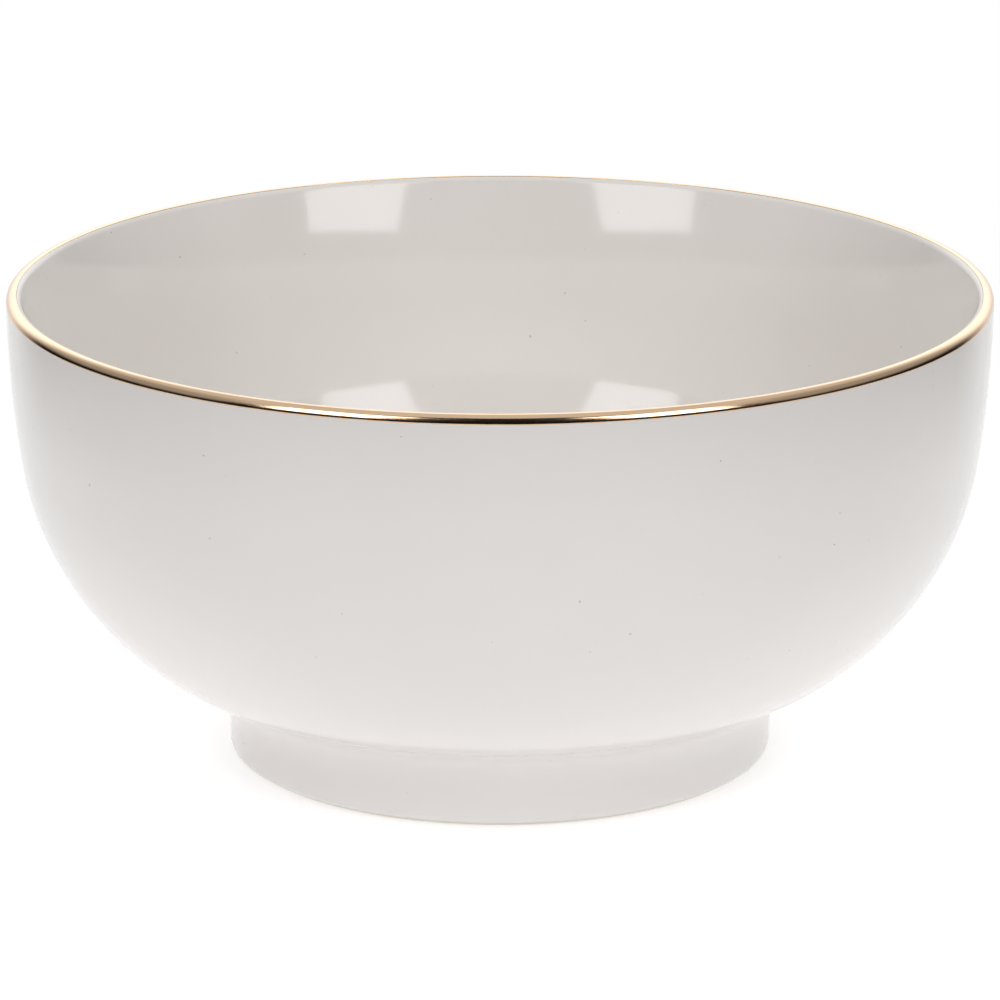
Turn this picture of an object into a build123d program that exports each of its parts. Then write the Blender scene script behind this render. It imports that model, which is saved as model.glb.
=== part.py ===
from build123d import *
import os
from collections import namedtuple
from math import acos, asin, cos, degrees, radians, sin

# Porcelain serving bowl on a low foot, with a thin gold line at the rim.
# Every piece is a ring about the Z axis, so each one is a section in radius and
# height, revolved once round. The table is at Z = 0 and the Z axis is the bowl's own.
# All sizes are in millimetres and all slopes in degrees from the horizontal.

# Overall sizes, over the glaze.
rim_diameter = 210.0
overall_height = 102.0

# Shell outside: nearly upright wall, round belly, tighter base curve, flat underside.
belly_radius = 64.3
belly_top_slope = 81.8
base_curve_radius = 34.8
base_curve_slope = 37.0
underside_height = 17.2

# Shell inside: flares out to a thin lip, then the same run of wall, belly and base curve.
lip_thickness = 3.4
flare_radius = 100.0
flare_lip_slope = 70.5
flare_low_slope = 86.0
inner_belly_radius = 50.0
inner_belly_top_slope = 76.3
floor_curve_radius = 33.0
floor_thickness = 5.6

# Foot: a plain ring that flares into the shell's underside.
foot_diameter = 117.1
foot_thickness = 6.8
foot_outer_corner = 3.2
foot_inner_corner = 2.0
foot_hollow_radius = 14.0
recess_hollow_radius = 8.0
joint_thickness = 0.5

# Glaze coats: wiped off below dry_edge_height, thicker by glaze_pool in the hollows.
glaze_thickness = 0.4
glaze_pool = 0.15
dry_edge_height = 0.8

# Gold line: over the lip, a little past its crown, and just down the outside. A film
# this thin is meshed evenly only where its rounding is divided into narrow strips.
gold_thickness = 0.2
gold_skirt = 0.2
gold_past_crown = 22.5
gold_strips = 6

# Worked out from the sizes above.
rim_radius = rim_diameter / 2
lip_radius = lip_thickness / 2
lip_height = overall_height - lip_radius
lip_centre = (rim_radius - lip_radius, lip_height)
foot_radius = foot_diameter / 2
foot_middle_radius = foot_radius - foot_thickness / 2
floor_height = underside_height + floor_thickness
core_height = underside_height + floor_thickness / 2

# An arc of a section: its centre, its radius, and its slope at its lower and upper end.
# The radius is negative where the arc bends the other way, with its centre in the clay.
Arc = namedtuple("Arc", "r z radius low high")

# The hollow between a side of the foot and the shell's underside: its centre, its
# radius, and the slope at which it touches the shell.
Hollow = namedtuple("Hollow", "r z radius slope")

# A side of the foot over the glaze: 1 if it faces outwards and -1 if it faces the axis,
# its wall's radius, its corner at the table, and its hollow under the shell.
Side = namedtuple("Side", "facing wall_radius corner hollow_radius")
OUTSIDE = Side(1, foot_radius, foot_outer_corner, foot_hollow_radius)
RECESS = Side(-1, foot_radius - foot_thickness, foot_inner_corner, recess_hollow_radius)


def point_on(arc, slope):
    """The point of an arc where its section has this slope."""
    lean = radians(slope)
    return arc.r + arc.radius * sin(lean), arc.z - arc.radius * cos(lean)


def edge_on(arc, low, high):
    """The stretch of an arc between two slopes."""
    quarter = -90 if arc.radius > 0 else 90
    return CenterArc((arc.r, arc.z), abs(arc.radius), low + quarter, high - low)


def edges_of(curve):
    """All the edges of a curve."""
    return [edge_on(arc, arc.low, arc.high) for arc in curve]


def arc_below(arc, radius, low):
    """The arc of another radius that carries on from an arc's lower end."""
    lean = radians(arc.low)
    step = arc.radius - radius
    return Arc(arc.r + step * sin(lean), arc.z - step * cos(lean), radius, low, arc.low)


def curve_below(arc, belly_slope, belly, base, low_height):
    """Base, belly and wall arcs, from a flat floor at this height up to the given arc.

    The wall's radius is the one that takes up the height that the other arcs leave.
    """
    belly_top = cos(radians(belly_slope))
    base_top = cos(radians(base_curve_slope))
    wall_top = cos(radians(arc.low))
    rise = point_on(arc, arc.low)[1] - low_height
    rise -= belly * (base_top - belly_top) + base * (1 - base_top)
    wall_arc = arc_below(arc, rise / (belly_top - wall_top), belly_slope)
    belly_arc = arc_below(wall_arc, belly, base_curve_slope)
    base_arc = arc_below(belly_arc, base, 0)
    return [base_arc, belly_arc, wall_arc]


def grown(curve, amount):
    """The same curve moved outwards by an amount, or inwards if it is negative."""
    return [arc._replace(radius=arc.radius + amount) for arc in curve]


def closed(edges, *corners):
    """The face inside some edges and the straight line through these corners."""
    return make_face([*edges, Polyline(*corners)])


def filled(curve):
    """The section inside a shell curve, from the axis to the curve, up to the lip."""
    low = point_on(curve[0], 0)
    top = point_on(curve[-1], 90)
    return closed(edges_of(curve), low, (0, low[1]), (0, top[1]), top)


def lined(curve, thickness):
    """The section of a coat that lies on a shell curve, from the axis to the lip."""
    backing = grown(curve, thickness)
    high = curve[-1].high
    end = Line(point_on(curve[-1], high), point_on(backing[-1], high))
    low, deep = point_on(curve[0], 0), point_on(backing[0], 0)
    edges = [*edges_of(curve), *edges_of(backing), end]
    return closed(edges, low, (0, low[1]), (0, deep[1]), deep)


def core(low_height):
    """A plain rectangle from the axis to the middle of the foot, up into the floor."""
    low, high = (0, low_height), (0, core_height)
    side = Line((foot_middle_radius, low_height), (foot_middle_radius, core_height))
    return closed([side], side @ 0, low, high, side @ 1)


def hollow_under(curve, wall_radius, radius, facing):
    """The hollow of this radius that touches a foot wall and the curve above it."""
    centre_radius = wall_radius + facing * radius
    for arc in curve:
        reach = arc.radius + radius
        lean = max((centre_radius - arc.r) / reach, 0)
        if lean <= sin(radians(arc.high)):
            slope = asin(lean)
            return Hollow(centre_radius, arc.z - reach * cos(slope), radius, degrees(slope))
    raise ValueError("the foot stands outside the shell")


def foot_line(side, curve, bare):
    """One side of the foot, from the table up to the shell that this curve outlines.

    bare is how far the surface lies under the glaze: zero for the glaze itself, which
    stops at the dry edge, and the glaze's thickness for the clay, which goes right down.
    Returns the edges, the hollow, the lowest point and the point that touches the shell.
    """
    wall_radius = side.wall_radius - side.facing * bare
    corner_size = side.corner - bare
    corner_radius = wall_radius - side.facing * corner_size
    corner_height = side.corner - glaze_thickness
    low_height = 0 if bare else dry_edge_height
    drop = asin((corner_height - low_height) / corner_size)
    hollow = hollow_under(curve, wall_radius, side.hollow_radius + bare, side.facing)
    touch_angle = 90 + hollow.slope
    corner_centre = (corner_radius, corner_height)
    hollow_centre = (hollow.r, hollow.z)
    if side.facing > 0:
        corner = CenterArc(corner_centre, corner_size, -degrees(drop), degrees(drop))
        curl = CenterArc(hollow_centre, hollow.radius, touch_angle, 180 - touch_angle)
    else:
        corner = CenterArc(corner_centre, corner_size, 180, degrees(drop))
        curl = CenterArc(hollow_centre, hollow.radius, 0, touch_angle)
    wall = Line((wall_radius, corner_height), (wall_radius, hollow.z))
    low = (corner_radius + side.facing * corner_size * cos(drop), low_height)
    touch = (
        hollow.r + hollow.radius * cos(radians(touch_angle)),
        hollow.z + hollow.radius * sin(radians(touch_angle)),
    )
    return [corner, wall, curl], hollow, low, touch


def glazed_outside():
    """The section inside the glazed outer surface, above the dry edge."""
    edges, hollow, low, touch = foot_line(OUTSIDE, outer_curve, 0)
    flat_edge = point_on(outer_curve[0], 0)
    if touch[0] < flat_edge[0]:
        edges.append(Line(touch, flat_edge))
    for arc in outer_curve:
        if arc.high > hollow.slope:
            edges.append(edge_on(arc, max(arc.low, hollow.slope), arc.high))
    return closed(edges, low, (0, low[1]), (0, lip_height), (rim_radius, lip_height))


def glazed_recess():
    """The section of the open recess under the shell, above the dry edge."""
    edges, hollow, low, touch = foot_line(RECESS, outer_curve, 0)
    flat_edge = point_on(outer_curve[0], 0)
    for arc in outer_curve:
        if arc.low < hollow.slope:
            edges.append(edge_on(arc, arc.low, min(arc.high, hollow.slope)))
    flat_end = (min(touch[0], flat_edge[0]), flat_edge[1])
    return closed(edges, low, (0, low[1]), (0, flat_end[1]), flat_end)


def clay_foot():
    """The foot's clay section, with its top inside the shell."""
    under_glaze = grown(outer_curve, -glaze_thickness - glaze_pool)
    outside, _, outer_low, outer_touch = foot_line(OUTSIDE, under_glaze, glaze_thickness)
    inside, _, inner_low, inner_touch = foot_line(RECESS, under_glaze, glaze_thickness)
    table_line = Line(outer_low, inner_low)
    return closed([*outside, *inside, table_line], outer_touch, inner_touch)


def lip_sector(thickness, start, size):
    """Part of the lip's rounded skin, between two angles from the outside."""
    outer = CenterArc(lip_centre, lip_radius, start, size)
    inner = CenterArc(lip_centre, lip_radius - thickness, start, size)
    return make_face([outer, inner, Line(outer @ 0, inner @ 0), Line(outer @ 1, inner @ 1)])


def lip_strips(radius, end):
    """An arc round the lip's centre, from the outside to this angle, in equal strips."""
    size = end / gold_strips
    return [CenterArc(lip_centre, radius, size * i, size) for i in range(gold_strips)]


def gold_section():
    """The gold line: the lip's skin as far as the gold goes, and a skirt outside."""
    wall_arc = outer_curve[-1]
    under_arc = wall_arc._replace(radius=wall_arc.radius - gold_thickness)
    low_slope = degrees(acos(gold_skirt / wall_arc.radius))
    outer = edge_on(wall_arc, low_slope, 90)
    inner = edge_on(under_arc, low_slope, 90)
    over = lip_strips(lip_radius, 90 + gold_past_crown)
    under = lip_strips(lip_radius - gold_thickness, 90 + gold_past_crown)
    ends = [Line(outer @ 0, inner @ 0), Line(over[-1] @ 1, under[-1] @ 1)]
    return make_face([outer, inner, *over, *under, *ends])


def ring(section):
    """A section revolved once round the bowl's axis, with its strips left apart."""
    return revolve(Plane.XZ * section, Axis.Z, 360, clean=False)


def bowl_body():
    """The clay shell, from its flat underside to its rounded lip."""
    outside = grown(outer_curve, -glaze_thickness)
    inside = grown(inner_curve, glaze_thickness)
    lip = CenterArc(lip_centre, lip_radius - glaze_thickness, 0, 90 + flare_lip_slope)
    low, deep = point_on(outside[0], 0), point_on(inside[0], 0)
    edges = [*edges_of(outside), lip, *edges_of(inside)]
    return closed(edges, low, (0, low[1]), (0, deep[1]), deep)


def foot_ring():
    """The clay ring that the bowl stands on, shaped to the shell above it."""
    return foot_clay - shell_slip


def foot_slip_joint():
    """The thin bed of slip that holds the foot to the shell."""
    return foot_clay & shell_slip - shell_clay


def outer_glaze():
    """The coat on the outside, from the lip's crown down to the foot's dry edge."""
    coat = glazed_outside() - core(0) - shell_clay - foot_clay
    return coat + lip_sector(glaze_thickness, 0, 90) - gold


def inner_glaze():
    """The coat on the inside, from the lip's crown to the middle of the floor."""
    lip = lip_sector(glaze_thickness, 90, flare_lip_slope)
    return lined(inner_curve, glaze_thickness) + lip - gold


def recess_glaze():
    """The coat under the bowl, inside the foot."""
    return core(dry_edge_height) - shell_clay - foot_clay - glazed_recess()


# The two surfaces of the shell over the glaze, and the sections that the pieces share.
outer_lip = Arc(*lip_centre, lip_radius, 90, 90)
outer_curve = curve_below(
    outer_lip, belly_top_slope, belly_radius, base_curve_radius, underside_height
)
inner_lip = Arc(*lip_centre, -lip_radius, flare_lip_slope, 90)
flare = arc_below(inner_lip, -flare_radius, flare_low_slope)
inner_curve = curve_below(
    flare, inner_belly_top_slope, inner_belly_radius, floor_curve_radius, floor_height
)
inner_curve.append(flare)
shell_clay = filled(grown(outer_curve, -glaze_thickness))
shell_slip = filled(grown(outer_curve, joint_thickness - glaze_thickness))
foot_clay = clay_foot()
gold = gold_section()

sections = {
    "bowl_body": bowl_body(),
    "foot_ring": foot_ring(),
    "foot_slip_joint": foot_slip_joint(),
    "outer_glaze": outer_glaze(),
    "inner_glaze": inner_glaze(),
    "recess_glaze": recess_glaze(),
    "rim_gold_band": gold,
}

os.makedirs("parts", exist_ok=True)
for name, section in sections.items():
    export_step(ring(section), f"parts/{name}.step")
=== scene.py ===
import math

import bmesh
import bpy
from bpy.props import FloatProperty, FloatVectorProperty, IntProperty, PointerProperty
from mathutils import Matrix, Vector


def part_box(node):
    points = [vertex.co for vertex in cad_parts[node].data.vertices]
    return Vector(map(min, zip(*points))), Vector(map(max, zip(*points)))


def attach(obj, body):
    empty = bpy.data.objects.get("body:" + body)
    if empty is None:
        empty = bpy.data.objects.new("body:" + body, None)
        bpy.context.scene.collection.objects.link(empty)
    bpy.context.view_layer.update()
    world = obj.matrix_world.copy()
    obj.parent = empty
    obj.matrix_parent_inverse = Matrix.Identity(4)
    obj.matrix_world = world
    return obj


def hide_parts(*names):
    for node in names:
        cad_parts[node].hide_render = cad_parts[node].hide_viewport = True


bl_info = {
    "name": "Gold-line porcelain bowl",
    "version": (1, 0, 0),
    "blender": (4, 5, 0),
    "location": "3D View > Sidebar > Bowl",
    "description": "Glaze coats, gold line and studio for a footed porcelain serving bowl",
    "category": "Add Mesh",
}

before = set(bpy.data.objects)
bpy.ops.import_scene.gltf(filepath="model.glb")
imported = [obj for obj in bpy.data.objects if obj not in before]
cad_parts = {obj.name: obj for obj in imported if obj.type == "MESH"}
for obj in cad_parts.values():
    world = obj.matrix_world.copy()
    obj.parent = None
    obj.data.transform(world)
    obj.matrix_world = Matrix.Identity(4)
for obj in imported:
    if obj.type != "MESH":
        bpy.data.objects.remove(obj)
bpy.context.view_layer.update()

MM = 0.001
FULL_TURN = 2 * math.pi
QUARTER = math.pi / 2


def reach(node):
    """How far a node of the frame stands out from the bowl's axis."""
    return max(vertex.co.xy.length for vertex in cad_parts[node].data.vertices)


def top(node):
    """The height of a node's highest point."""
    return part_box(node)[1].z


def bottom(node):
    """The height of a node's lowest point."""
    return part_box(node)[0].z


# ---------------------------------------------------------------- sizes and colours


def length(name, description, default):
    """A length that the panel shows in the scene's own units."""
    return FloatProperty(
        name=name, description=description, default=default, min=0, precision=5, unit="LENGTH"
    )


def slope(name, description, degrees):
    """An angle from the horizontal."""
    return FloatProperty(
        name=name, description=description, default=math.radians(degrees), subtype="ANGLE"
    )


def amount(name, description, default):
    """A plain number."""
    return FloatProperty(name=name, description=description, default=default, precision=4)


def colour(name, description, default):
    """A colour, as linear red, green and blue."""
    return FloatVectorProperty(
        name=name, description=description, default=default, subtype="COLOR", min=0, max=1
    )


def count(name, description, default):
    """A whole number of segments."""
    return IntProperty(name=name, description=description, default=default, min=8)


class BowlSizes(bpy.types.PropertyGroup):
    """The bowl's section over the glaze, in the frame's own sizes."""

    rim_radius: length("Rim radius", "Axis to the outside of the rim", reach("rim_gold_band"))
    height: length("Height", "Table to the lip's crown", top("rim_gold_band"))
    lip: length("Lip", "Thickness of the lip over both coats", 3.4 * MM)
    belly_radius: length("Belly radius", "Radius of the round belly outside", 64.3 * MM)
    belly_slope: slope("Belly top slope", "Where the belly turns into the wall", 81.8)
    base_radius: length("Base curve radius", "Radius of the tighter curve below", 34.8 * MM)
    base_slope: slope("Base curve slope", "Where the base curve turns into the belly", 37.0)
    flare: length("Flare radius", "Radius of the flare inside the lip", 100 * MM)
    flare_top: slope("Flare top slope", "Where the flare meets the lip's rounding", 70.5)
    flare_low: slope("Flare low slope", "Where the flare turns into the inner wall", 86.0)
    inner_belly: length("Inner belly radius", "Radius of the belly inside", 50 * MM)
    inner_belly_slope: slope("Inner belly top slope", "Where the inner belly begins", 76.3)
    floor_curve: length("Floor curve radius", "Radius of the curve round the floor", 33 * MM)
    foot_radius: length("Foot radius", "Axis to the foot's outer wall", 58.55 * MM)
    foot_thickness: length("Foot thickness", "Outer wall to recess wall", 6.8 * MM)
    outer_corner: length("Outer corner", "Rounding at the foot's outer edge", 3.2 * MM)
    inner_corner: length("Inner corner", "Rounding at the foot's inner edge", 2.0 * MM)
    foot_hollow: length("Foot hollow", "Radius of the hollow above the foot", 14 * MM)
    recess_hollow: length("Recess hollow", "Radius of the hollow in the recess", 8 * MM)
    coat: length("Coat", "Thickness of the glaze", 0.4 * MM)
    gold_skirt: length("Gold skirt", "How far the gold runs down below the lip's rounding", 0.2 * MM)
    gold_past: slope("Gold past crown", "How far the gold runs in past the lip's crown", 22.5)
    gold_film: length("Gold film", "How far the gold stands on the glaze", 0.04 * MM)
    bead: length("Bead", "How far from its edge the glaze begins to round off", 0.7 * MM)
    around: count("Around", "Segments round the bowl", 288)


class BowlColours(bpy.types.PropertyGroup):
    """The colours of the fired bowl."""

    glaze: colour("Glaze", "White glaze outside and under the bowl", (0.783, 0.755, 0.738))
    # Painted light: the same white glaze as outside, given a warmer, paler tone here to stand in for the
    # warm bounce light inside the bowl.
    inner_glaze: colour("Inner glaze", "Warmer white glaze inside", (0.815, 0.782, 0.752))
    speck: colour("Speck", "Iron specks in the glaze", (0.12, 0.10, 0.085))
    bisque: colour("Bisque", "Bare fired clay", (0.72, 0.68, 0.61))
    gold: colour("Gold", "Polished gold line", (0.79, 0.60, 0.41))


class StudioSettings(bpy.types.PropertyGroup):
    """Camera, lights and floor."""

    camera_distance: length("Camera distance", "Camera to the point it looks at", 1.3672)
    camera_slope: slope("Camera slope", "How far the camera looks down", 16.089)
    camera_aim: length("Camera aim", "Height of the point it looks at", 54.53 * MM)
    lens: amount("Lens", "Focal length on a 36 mm frame, in millimetres", 228.85)
    paper: colour("Paper", "White paper on the light table", (0.80, 0.80, 0.80))
    table_radius: length("Table radius", "Radius of the round light table", 0.5)
    table_glow: amount("Table glow", "Brightness of the light table through its paper", 0.42)
    backdrop: amount("Backdrop", "Brightness of the white backdrop behind the bowl", 0.9)
    canopy: amount("Canopy", "Brightness of the white canopy from behind to overhead", 0.75)
    left_box: amount("Left box", "Brightness of the softbox front left", 3.2)
    right_box: amount("Right box", "Brightness of the softbox front right", 3.25)


# ---------------------------------------------------------------- the bowl's section


class Arc:
    """A circular stretch of the section. Slopes are from the horizontal.

    The radius is negative where the arc bends the other way, with its centre in the clay.
    """

    def __init__(self, r, z, radius, low, high):
        self.r, self.z, self.radius, self.low, self.high = r, z, radius, low, high

    def below(self, radius, low):
        """The arc of another radius that carries on from this one's lower end."""
        step = self.radius - radius
        return Arc(
            self.r + step * math.sin(self.low), self.z - step * math.cos(self.low), radius, low, self.low
        )

    def stretch(self, start, end, step):
        """Points from one slope to another, each with its outward direction."""
        count = max(2, math.ceil(abs((end - start) * self.radius) / step))
        slopes = [start + (end - start) * i / count for i in range(count + 1)]
        return [self.at(lean) for lean in slopes]

    def at(self, lean):
        """The point with this slope, and the direction out of the bowl's axis there."""
        across, up = math.sin(lean), -math.cos(lean)
        return self.r + self.radius * across, self.z + self.radius * up, across, up


def ray(r, z, radius, angle, outwards=1):
    """A point on a circle of the section and the direction out of the clay there."""
    across, up = math.cos(angle), math.sin(angle)
    return r + radius * across, z + radius * up, outwards * across, outwards * up


def turn(r, z, radius, start, end, steps, outwards=1):
    """Points round a corner or hollow of the section."""
    angles = [start + (end - start) * i / steps for i in range(steps + 1)]
    return [ray(r, z, radius, angle, outwards) for angle in angles]


def arcs_below(arc, belly_slope, belly, base_slope, base, floor):
    """Wall, belly and base arcs, from the given arc down to a flat floor at this height.

    The wall's radius is the one that takes up the height that the other arcs leave.
    """
    belly_top, base_top = math.cos(belly_slope), math.cos(base_slope)
    rise = arc.at(arc.low)[1] - floor - belly * (base_top - belly_top) - base * (1 - base_top)
    wall_arc = arc.below(rise / (belly_top - math.cos(arc.low)), belly_slope)
    belly_arc = wall_arc.below(belly, base_slope)
    return [wall_arc, belly_arc, belly_arc.below(base, 0)]


def underside(sizes):
    """The height of the glazed underside inside the foot."""
    return bottom("bowl_body") - sizes.coat


def lip_centre(sizes):
    """The centre of the lip's rounding."""
    half = sizes.lip / 2
    return sizes.rim_radius - half, sizes.height - half


def outside_arcs(sizes):
    """The shell's outer arcs over the glaze, from an upright wall at the lip."""
    lip_arc = Arc(*lip_centre(sizes), sizes.lip / 2, QUARTER, QUARTER)
    belly, base = sizes.belly_radius, sizes.base_radius
    return arcs_below(
        lip_arc, sizes.belly_slope, belly, sizes.base_slope, base, underside(sizes)
    )


def inside_arcs(sizes):
    """The shell's inner arcs over the glaze, from the flare at the lip."""
    lip_arc = Arc(*lip_centre(sizes), -sizes.lip / 2, sizes.flare_top, QUARTER)
    flare = lip_arc.below(-sizes.flare, sizes.flare_low)
    floor = bottom("inner_glaze") + sizes.coat
    belly, base = sizes.inner_belly, sizes.floor_curve
    lower = arcs_below(flare, sizes.inner_belly_slope, belly, sizes.base_slope, base, floor)
    return [flare, *lower]


def hollow_under(arcs, wall_radius, radius, facing):
    """Centre of the hollow between a foot wall and the shell, and its slope at the shell."""
    centre = wall_radius + facing * radius
    for arc in reversed(arcs):
        distance = arc.radius + radius
        lean = max((centre - arc.r) / distance, 0)
        if lean <= math.sin(arc.high):
            break
    lean = math.asin(lean)
    return centre, arc.z - distance * math.cos(lean), lean


# Spacing along the arcs, then how many pieces the small curves and flats are divided into.
STEP = 1.2 * MM
LIP_STEPS, CORNER_STEPS, HOLLOW_STEPS = 16, 10, 20
FLOOR_RINGS, UNDERSIDE_RINGS = 12, 10
ON_AXIS = 1e-9


def lip(sizes, start, end):
    """The lip's rounding between two angles from the outside."""
    return turn(*lip_centre(sizes), sizes.lip / 2, start, end, LIP_STEPS)


def foot_end(sizes, wall_radius, corner, facing, dry_edge):
    """The foot's rounded corner, from its wall down to where the glaze stops."""
    height = corner - sizes.coat
    drop = math.asin((height - dry_edge) / corner)
    centre = wall_radius - facing * corner
    if facing > 0:
        return turn(centre, height, corner, 0, -drop, CORNER_STEPS)
    return turn(centre, height, corner, math.pi, math.pi + drop, CORNER_STEPS)


def outer_line(sizes):
    """The outer surface, from the lip's crown down to the dry edge."""
    arcs = outside_arcs(sizes)
    centre, height, lean = hollow_under(arcs, sizes.foot_radius, sizes.foot_hollow, 1)
    line = lip(sizes, QUARTER, 0)
    for arc in arcs:
        if arc.high > lean:
            line += arc.stretch(arc.high, max(arc.low, lean), STEP)[1:]
    touch = QUARTER + lean
    line += turn(centre, height, sizes.foot_hollow, touch, math.pi, HOLLOW_STEPS, -1)[1:]
    return line + foot_end(sizes, sizes.foot_radius, sizes.outer_corner, 1, bottom("outer_glaze"))


def inner_line(sizes):
    """The inner surface, from the lip's crown down to the middle of the floor."""
    line = lip(sizes, QUARTER, QUARTER + sizes.flare_top)
    for arc in inside_arcs(sizes):
        for r, z, across, up in arc.stretch(arc.high, arc.low, STEP)[1:]:
            line.append((r, z, -across, -up))
    edge_radius, floor = line[-1][:2]
    for i in range(1, FLOOR_RINGS + 1):
        line.append((edge_radius * (1 - i / FLOOR_RINGS), floor, 0, 1))
    return line


def recess_line(sizes):
    """The surface under the bowl, from its middle out and down to the dry edge."""
    wall_radius = sizes.foot_radius - sizes.foot_thickness
    arcs = outside_arcs(sizes)
    centre, height, lean = hollow_under(arcs, wall_radius, sizes.recess_hollow, -1)
    ceiling = underside(sizes)
    line = [(centre * i / UNDERSIDE_RINGS, ceiling, 0, -1) for i in range(UNDERSIDE_RINGS)]
    line += turn(centre, height, sizes.recess_hollow, QUARTER + lean, 0, HOLLOW_STEPS, -1)
    corner = sizes.inner_corner
    return line + foot_end(sizes, wall_radius, corner, -1, bottom("recess_glaze"))


# ---------------------------------------------------------------- meshes


def sunk(line, depth):
    """A line moved into the clay. depth is a length, or one for each point."""
    depths = depth if isinstance(depth, list) else [depth] * len(line)
    return [(r - across * d, z - up * d) for (r, z, across, up), d in zip(line, depths)]


def run_lengths(line):
    """How far along the line each of its points is."""
    lengths = [0]
    for a, b in zip(line, line[1:]):
        lengths.append(lengths[-1] + math.dist(a[:2], b[:2]))
    return lengths


def lathe(name, section_at, around, material):
    """A closed ring: the section turned about Z, as section_at gives it for each angle.

    A section that begins and ends on the axis closes there; any other is a loop.
    """
    mesh = bmesh.new()
    sections = [section_at(FULL_TURN * i / around) for i in range(around)]
    on_axis = [abs(r) < ON_AXIS for r, _ in sections[0]]
    poles = {i: mesh.verts.new((0, 0, sections[0][i][1])) for i, pole in enumerate(on_axis) if pole}
    columns = []
    for i, section in enumerate(sections):
        across, along = math.cos(FULL_TURN * i / around), math.sin(FULL_TURN * i / around)
        columns.append([
            poles[k] if k in poles else mesh.verts.new((r * across, r * along, z))
            for k, (r, z) in enumerate(section)
        ])
    size = len(sections[0])
    for i in range(around):
        here, there = columns[i], columns[(i + 1) % around]
        for k in range(size):
            after = (k + 1) % size
            if k in poles and after in poles:
                continue
            corners = [here[k], there[k], there[after], here[after]]
            mesh.faces.new(dict.fromkeys(corners))
    bmesh.ops.recalc_face_normals(mesh, faces=mesh.faces)
    data = bpy.data.meshes.new(name)
    mesh.to_mesh(data)
    mesh.free()
    data.materials.append(material)
    data.shade_smooth()
    piece = bpy.data.objects.new(name, data)
    bpy.context.scene.collection.objects.link(piece)
    return piece


def coat(name, line, sizes, material):
    """A glaze coat under its surface line, rounded off where the line ends on the foot."""
    lengths = run_lengths(line)
    ends_on_foot = line[-1][1] < underside(sizes)
    depths = []
    for run in lengths:
        left = (lengths[-1] - run) / sizes.bead
        fullness = math.sqrt(1 - (1 - min(left, 1)) ** 2) if ends_on_foot else 1
        depths.append(sizes.coat - (sizes.coat - sizes.gold_film) * fullness)
    surface = sunk(line, depths)
    back = sunk(line, sizes.coat)
    if ends_on_foot:
        back.pop()
    section = surface + back[::-1]
    return lathe(name, lambda angle: section, sizes.around, material)


# Waves round the rim and the share of each; how far each edge of the gold drifts with them.
BRUSH_WAVES = ((3, 0.42), (7, 0.27), (13, 0.19), (29, 0.12))
SKIRT_DRIFT, CROWN_DRIFT = 0.45, 0.18
SKIRT_PHASE, CROWN_PHASE = 0.7, 2.1
GOLD_STEPS = 24


def wander(angle, phase):
    """A slow, smooth drift round the rim, from -1 to 1, as a banding brush leaves it."""
    return sum(share * math.sin(waves * (angle + phase)) for waves, share in BRUSH_WAVES)


def gold_ring(sizes, material):
    """The gold film over the lip, thin at both edges, which drift a little round the rim."""
    wall_arc = outside_arcs(sizes)[0]

    def section(angle):
        skirt = sizes.gold_skirt * (1 + SKIRT_DRIFT * wander(angle, SKIRT_PHASE))
        past = sizes.gold_past * (1 + CROWN_DRIFT * wander(angle, CROWN_PHASE))
        line = wall_arc.stretch(math.acos(skirt / wall_arc.radius), QUARTER, skirt / 2)
        line += turn(*lip_centre(sizes), sizes.lip / 2, 0, QUARTER + past, GOLD_STEPS)[1:]
        lengths = run_lengths(line)
        depths = []
        for run in lengths:
            edge = min(run, lengths[-1] - run) / sizes.gold_skirt
            depths.append(sizes.gold_film * (1 - math.sqrt(min(edge, 1))))
        return sunk(line, depths) + sunk(line, sizes.gold_film)[-2:0:-1]

    return lathe("gold_line", section, sizes.around, material)


# ---------------------------------------------------------------- shader maths


class Signal:
    """A socket of a node tree, so that sums on it are written as plain Python."""

    def __init__(self, paint, socket):
        self.paint, self.socket = paint, socket

    def maths(self, operation, first, second):
        return self.paint.node("ShaderNodeMath", {"operation": operation}, {0: first, 1: second})

    def __add__(self, other):
        return self.maths("ADD", self, other)

    def __mul__(self, other):
        return self.maths("MULTIPLY", self, other)

    __radd__, __rmul__ = __add__, __mul__


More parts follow.
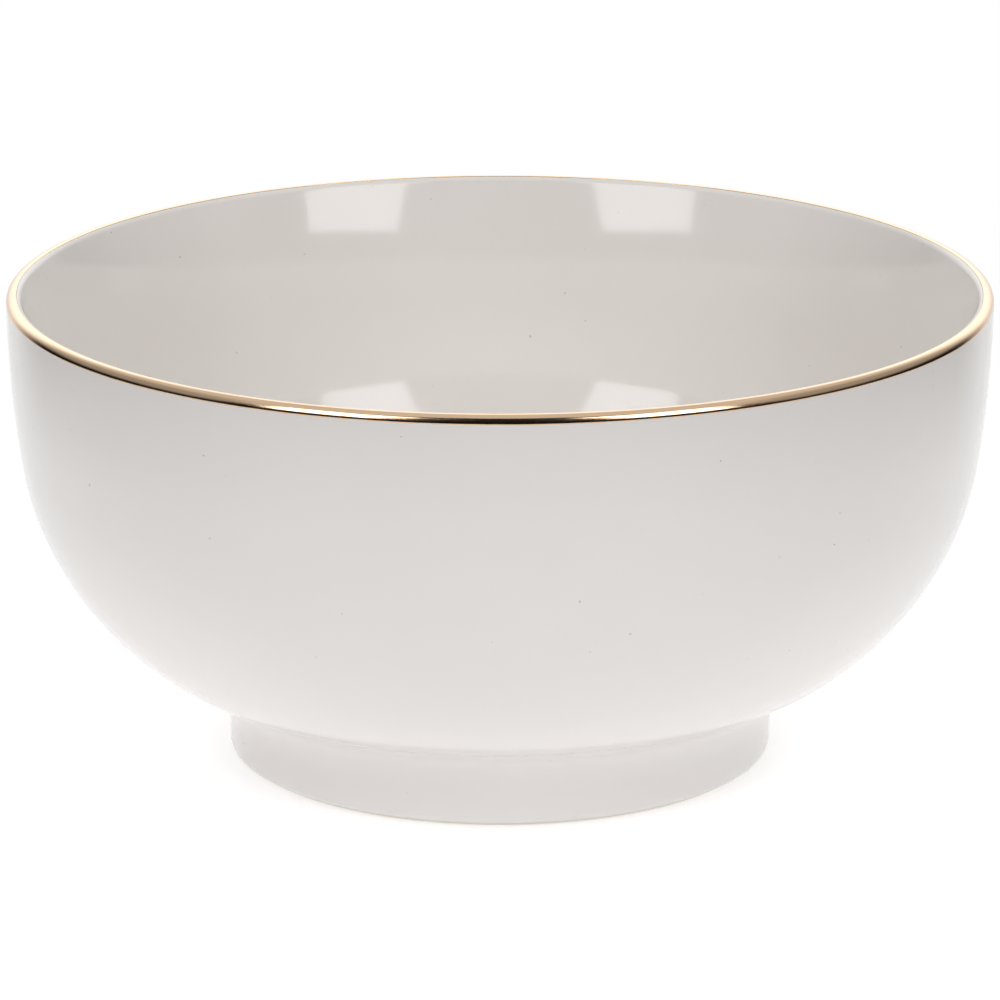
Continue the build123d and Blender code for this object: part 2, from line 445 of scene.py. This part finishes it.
class Paint:
    """A node tree being filled in."""

    def __init__(self, tree):
        self.tree = tree
        self.tree.nodes.clear()

    def node(self, kind, settings=None, inputs=None, output=0):
        """Adds a node: its settings first, then values or signals for its sockets."""
        node = self.tree.nodes.new(kind)
        for key, value in (settings or {}).items():
            if key == "stops":
                self.fill_ramp(node.color_ramp, value)
            else:
                setattr(node, key, value)
        for key, value in (inputs or {}).items():
            if isinstance(value, Signal):
                self.tree.links.new(value.socket, node.inputs[key])
            else:
                node.inputs[key].default_value = value
        return Signal(self, node.outputs[output]) if len(node.outputs) else None

    @staticmethod
    def fill_ramp(ramp, stops):
        """Sets a ramp's stops, each a place and a grey or a colour."""
        while len(ramp.elements) < len(stops):
            ramp.elements.new(1)
        for element, (place, value) in zip(ramp.elements, stops):
            element.position = place
            element.color = (value, value, value, 1) if isinstance(value, (int, float)) else value

    def place(self):
        """The point being shaded, in metres in the bowl's own frame."""
        return self.node("ShaderNodeTexCoord", output="Object")

    def noise(self, scale, detail=2, roughness=0.5, stretch=(1, 1, 1)):
        """Smooth noise from 0 to 1; scale is in bumps per metre."""
        place = self.node(
            "ShaderNodeVectorMath", {"operation": "MULTIPLY"}, {0: self.place(), 1: stretch}
        )
        sockets = {"Vector": place, "Scale": scale, "Detail": detail, "Roughness": roughness}
        return self.node("ShaderNodeTexNoise", {"noise_dimensions": "3D"}, sockets)

    def ramp(self, value, stops):
        """A value put through stops."""
        return self.node("ShaderNodeValToRGB", {"stops": stops}, {"Fac": value})

    def blend(self, mask, first, second):
        """One colour turning into another as the mask goes from 0 to 1."""
        colours = {"Factor": mask, 6: first, 7: second}
        return self.node("ShaderNodeMix", {"data_type": "RGBA"}, colours, output=2)

    def bump(self, height, distance, strength=1.0, before=None):
        """A normal tilted by a height signal; distance is the height of 1, in metres."""
        sockets = {"Height": height, "Distance": distance, "Strength": strength}
        if before:
            sockets["Normal"] = before
        return self.node("ShaderNodeBump", None, sockets)


def opaque(red_green_blue):
    """A colour with full alpha."""
    return (*red_green_blue, 1)


def surface(name, build, **constants):
    """A material with one shader. build gives what varies; constants stay on its sockets."""
    material = bpy.data.materials.new(name)
    material.use_nodes = True
    paint = Paint(material.node_tree)
    shader = paint.node("ShaderNodeBsdfPrincipled", None, {**constants, **build(paint)})
    paint.node("ShaderNodeOutputMaterial", None, {"Surface": shader})
    return material


# The glaze's clouds, ripples, orange peel, sheen and specks, in bumps per metre.
CLOUDS, RIPPLES, PEEL, SHEEN, SPECKS = 14, 45, 420, 60, 900
SPECK_EDGE = [(0.81, 0.0), (0.84, 1.0)]
RIPPLE_HEIGHT, PEEL_HEIGHT = 0.05 * MM, 0.004 * MM
GLAZE_ROUGHNESS = 0.07
GLAZE_IOR = 1.52

def glaze(name, base, speck, seed):
    """Glossy warm white glaze: faint clouds, a few specks, slow ripples and orange peel."""

    def build(paint):
        clouds = paint.noise(CLOUDS + seed, 3, 0.55)
        tint = paint.ramp(clouds, [(0.3, 0.0), (0.7, 1.0)])
        pale = opaque([min(1, channel * 1.012) for channel in base])
        deep = opaque([base[0] * 0.985, base[1] * 0.98, base[2] * 0.972])
        skin = paint.blend(tint, deep, pale)
        pits = paint.noise(SPECKS, 1, 0.4)
        skin = paint.blend(paint.ramp(pits, SPECK_EDGE) * 0.5, skin, opaque(speck))
        ripples = paint.noise(RIPPLES, 2, 0.4)
        peel = paint.noise(PEEL, 2, 0.5)
        normal = paint.bump(ripples, RIPPLE_HEIGHT)
        normal = paint.bump(peel, PEEL_HEIGHT, before=normal)
        rough = paint.noise(SHEEN, 3, 0.6) * 0.05 + GLAZE_ROUGHNESS
        return {"Base Color": skin, "Roughness": rough, "Normal": normal}

    return surface(name, build, **{"IOR": GLAZE_IOR})


# The bare clay's grain and stains, in bumps per metre.
CLAY_GRAIN, CLAY_STAIN = 2600, 90
CLAY_GRAIN_HEIGHT = 0.02 * MM
CLAY_ROUGHNESS = 0.62


def bisque(name, colours, tone):
    """Bare fired clay: matte, with fine grain."""

    def build(paint):
        grain = paint.noise(CLAY_GRAIN, 3, 0.7)
        stain = paint.noise(CLAY_STAIN, 3, 0.6)
        base = [channel * tone for channel in colours.bisque]
        dark = opaque([channel * 0.86 for channel in base])
        skin = paint.blend(stain * 0.7 + grain * 0.3, dark, opaque(base))
        return {
            "Base Color": skin,
            "Roughness": grain * 0.2 + CLAY_ROUGHNESS,
            "Normal": paint.bump(grain, CLAY_GRAIN_HEIGHT),
        }

    return surface(name, build)


# The gold's brush streaks and wear, in bumps per metre.
STREAKS, WEAR = 240, 70
STREAK_STRETCH = (1, 1, 9)
STREAK_HEIGHT = 0.006 * MM
GOLD_ROUGHNESS = 0.1


def gold(name, colours):
    """Polished gold lustre with the faint streaks of the banding brush."""

    def build(paint):
        streaks = paint.noise(STREAKS, 3, 0.6, STREAK_STRETCH)
        worn = paint.noise(WEAR, 2, 0.5)
        base = colours.gold
        rosy = opaque([base[0], base[1] * 0.9, base[2] * 0.86])
        return {
            "Base Color": paint.blend(worn, opaque(base), rosy),
            "Roughness": streaks * 0.12 + GOLD_ROUGHNESS,
            "Normal": paint.bump(streaks, STREAK_HEIGHT),
        }

    return surface(name, build, **{"Metallic": 1.0})


# ---------------------------------------------------------------- operators


class BowlOperator(bpy.types.Operator):
    """What every step of the bowl shares."""

    bl_options = {"REGISTER", "UNDO"}

    def settings(self, context):
        scene = context.scene
        return scene.bowl_sizes, scene.bowl_colours, scene.bowl_studio


def seat(piece, slot, *nodes):
    """Puts a finished piece in the frame in place of its plain nodes."""
    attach(piece, "root")
    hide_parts(*nodes)


class BOWL_OT_clay(BowlOperator):
    """Give the shell, the foot ring and the slip between them their bare fired clay"""

    bl_idname = "bowl.clay"
    bl_label = "Fire the clay"

    def execute(self, context):
        _, colours, _ = self.settings(context)
        tones = {"bowl_body": 1.0, "foot_ring": 1.03, "foot_slip_joint": 0.95}
        for node, tone in tones.items():
            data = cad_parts[node].data
            data.materials.clear()
            data.materials.append(bisque(f"{node}_clay", colours, tone))
        return {"FINISHED"}


class BOWL_OT_outer_coat(BowlOperator):
    """Glaze the outside, from the lip's crown to the foot's dry edge"""

    bl_idname = "bowl.outer_coat"
    bl_label = "Glaze the outside"

    def execute(self, context):
        sizes, colours, _ = self.settings(context)
        finish = glaze("outer_glaze", colours.glaze, colours.speck, 0)
        seat(coat("outer_coat", outer_line(sizes), sizes, finish), "outer_glaze", "outer_glaze")
        return {"FINISHED"}


class BOWL_OT_inner_coat(BowlOperator):
    """Glaze the inside, from the lip's crown to the middle of the floor"""

    bl_idname = "bowl.inner_coat"
    bl_label = "Glaze the inside"

    def execute(self, context):
        sizes, colours, _ = self.settings(context)
        # The inner glaze's warmer, paler colour is painted bounce light from inside the bowl, not a
        # different glaze.
        finish = glaze("inner_glaze", colours.inner_glaze, colours.speck, 1)
        seat(coat("inner_coat", inner_line(sizes), sizes, finish), "inner_glaze", "inner_glaze")
        return {"FINISHED"}


class BOWL_OT_recess_coat(BowlOperator):
    """Glaze the recess under the bowl, inside the foot"""

    bl_idname = "bowl.recess_coat"
    bl_label = "Glaze the recess"

    def execute(self, context):
        sizes, colours, _ = self.settings(context)
        finish = glaze("recess_glaze", colours.glaze, colours.speck, 2)
        seat(coat("recess_coat", recess_line(sizes), sizes, finish), "recess_glaze", "recess_glaze")
        return {"FINISHED"}


class BOWL_OT_gold_line(BowlOperator):
    """Band the lip with gold"""

    bl_idname = "bowl.gold_line"
    bl_label = "Band the rim with gold"

    def execute(self, context):
        sizes, colours, _ = self.settings(context)
        seat(gold_ring(sizes, gold("rim_gold", colours)), "rim_gold", "rim_gold_band")
        return {"FINISHED"}


# Where each softbox stands and how big it is; it looks at a point in the bowl.
BOX_HEADING, BOX_RISE = 39.5, 32
BOX_DISTANCE = 1.2
BOX_WIDTH, BOX_HEIGHT = 0.53, 0.78
BOX_AIM = Vector((0, 0, 0.08))


def softbox(name, heading, brightness):
    """A soft rectangular light that faces the bowl, hidden from the camera itself.

    heading is the turn in degrees from straight in front, to the right if it is positive.
    """
    turned, raised = math.radians(heading), math.radians(BOX_RISE)
    level = math.cos(raised)
    towards = Vector((math.sin(turned) * level, -math.cos(turned) * level, math.sin(raised)))
    data = bpy.data.lights.new(name, "AREA")
    data.shape = "RECTANGLE"
    data.size, data.size_y = BOX_WIDTH, BOX_HEIGHT
    data.energy = 4 * BOX_WIDTH * BOX_HEIGHT * brightness
    light = bpy.data.objects.new(name, data)
    light.location = BOX_AIM + towards * BOX_DISTANCE
    light.rotation_euler = towards.to_track_quat("Z", "Y").to_euler()
    light.visible_camera = False
    bpy.context.scene.collection.objects.link(light)


# Where the paper, the backdrop and the edges of the canopy fade, as stops of their ramps.
SENSOR_WIDTH = 36
PAPER_TOOTH = 700
PAPER_SEGMENTS = 128
PAPER_FADE = [(0.5, 1.0), (1.0, 0.0)]
BACKDROP_FADE = [(0.65, 0.0), (0.85, 1.0)]
CANOPY_FRONT = [(0.06, 0.0), (0.14, 1.0)]
CANOPY_SIDES = [(0.5, 1.0), (0.8, 0.5)]
CANOPY_FOOT = [(0.0, 0.0), (0.3, 1.0)]


class BOWL_OT_studio(BowlOperator):
    """Set up the paper, the lights and the camera"""

    bl_idname = "bowl.studio"
    bl_label = "Set up the studio"

    def execute(self, context):
        _, _, studio = self.settings(context)
        self.floor(studio)
        self.room(context, studio)
        self.lights(studio)
        self.camera(context, studio)
        context.scene.view_settings.view_transform = "Standard"
        return {"FINISHED"}

    def floor(self, studio):
        """White paper with a faint tooth on a light table, thinning out towards its edge."""

        def build(paint):
            tooth = paint.noise(PAPER_TOOTH, 3, 0.6)
            away = paint.node(
                "ShaderNodeVectorMath", {"operation": "LENGTH"}, {0: paint.place()}, output="Value"
            )
            dark = opaque([channel * 0.985 for channel in studio.paper])
            return {
                "Base Color": paint.blend(tooth, dark, opaque(studio.paper)),
                "Roughness": tooth * 0.1 + 0.75,
                "Alpha": paint.ramp(away * (1 / studio.table_radius), PAPER_FADE),
            }

        mesh = bmesh.new()
        radius = studio.table_radius
        bmesh.ops.create_circle(mesh, cap_ends=True, radius=radius, segments=PAPER_SEGMENTS)
        data = bpy.data.meshes.new("paper_floor")
        mesh.to_mesh(data)
        mesh.free()
        glow = {"Emission Color": (1, 1, 1, 1), "Emission Strength": studio.table_glow}
        data.materials.append(surface("white_paper", build, **glow))
        floor = bpy.data.objects.new("paper_floor", data)
        bpy.context.scene.collection.objects.link(floor)

    def room(self, context, studio):
        """A dim room with a white backdrop; the camera itself sees plain white."""
        world = bpy.data.worlds.new("studio_room")
        world.use_nodes = True
        context.scene.world = world
        paint = Paint(world.node_tree)
        direction = paint.node("ShaderNodeTexCoord", output="Generated")
        across, back, up = (
            paint.node("ShaderNodeSeparateXYZ", None, {0: direction}, output=i) for i in range(3)
        )
        aside = paint.node("ShaderNodeMath", {"operation": "ABSOLUTE"}, {0: across})
        level = studio.backdrop * paint.ramp(back, BACKDROP_FADE)
        front_edge = paint.ramp(back + 0.5, CANOPY_FRONT)
        side_edges = paint.ramp(aside, CANOPY_SIDES)
        low_edge = paint.ramp(up, CANOPY_FOOT)
        level = level + studio.canopy * front_edge * side_edges * low_edge
        light = paint.node("ShaderNodeBackground", None, {"Color": (1, 1, 1, 1), "Strength": level})
        plain = paint.node("ShaderNodeBackground", None, {"Color": (1, 1, 1, 1), "Strength": 1.0})
        seen = paint.node("ShaderNodeLightPath", output="Is Camera Ray")
        both = paint.node("ShaderNodeMixShader", None, {0: seen, 1: light, 2: plain})
        paint.node("ShaderNodeOutputWorld", None, {"Surface": both})

    def lights(self, studio):
        """A softbox front left and one front right."""
        softbox("left_box", -BOX_HEADING, studio.left_box)
        softbox("right_box", BOX_HEADING, studio.right_box)

    def camera(self, context, studio):
        """A long lens, looking down a little."""
        data = bpy.data.cameras.new("camera")
        data.lens = studio.lens
        data.sensor_width = SENSOR_WIDTH
        camera = bpy.data.objects.new("camera", data)
        aim = Vector((0, 0, studio.camera_aim))
        back = Vector((0, -math.cos(studio.camera_slope), math.sin(studio.camera_slope)))
        camera.location = aim + back * studio.camera_distance
        camera.rotation_euler = (-back).to_track_quat("-Z", "Y").to_euler()
        context.scene.collection.objects.link(camera)
        context.scene.camera = camera


STEPS = (
    BOWL_OT_clay,
    BOWL_OT_outer_coat,
    BOWL_OT_inner_coat,
    BOWL_OT_recess_coat,
    BOWL_OT_gold_line,
    BOWL_OT_studio,
)


class BOWL_PT_panel(bpy.types.Panel):
    """The bowl's sizes, colours and steps"""

    bl_idname = "BOWL_PT_panel"
    bl_label = "Porcelain bowl"
    bl_space_type = "VIEW_3D"
    bl_region_type = "UI"
    bl_category = "Bowl"

    def draw(self, context):
        for group in (context.scene.bowl_sizes, context.scene.bowl_colours, context.scene.bowl_studio):
            box = self.layout.box()
            for key in group.__annotations__:
                box.prop(group, key)
        for step in STEPS:
            self.layout.operator(step.bl_idname)


GROUPS = {"bowl_sizes": BowlSizes, "bowl_colours": BowlColours, "bowl_studio": StudioSettings}


def register():
    for key, group in GROUPS.items():
        bpy.utils.register_class(group)
        setattr(bpy.types.Scene, key, PointerProperty(type=group))
    for step in (*STEPS, BOWL_PT_panel):
        bpy.utils.register_class(step)


def unregister():
    for step in reversed((*STEPS, BOWL_PT_panel)):
        bpy.utils.unregister_class(step)
    for key, group in GROUPS.items():
        delattr(bpy.types.Scene, key)
        bpy.utils.unregister_class(group)


def main():
    """Registers the add-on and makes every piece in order."""
    register()
    bpy.ops.bowl.clay()
    bpy.ops.bowl.outer_coat()
    bpy.ops.bowl.inner_coat()
    bpy.ops.bowl.recess_coat()
    bpy.ops.bowl.gold_line()
    bpy.ops.bowl.studio()


if __name__ == "__main__":
    main()
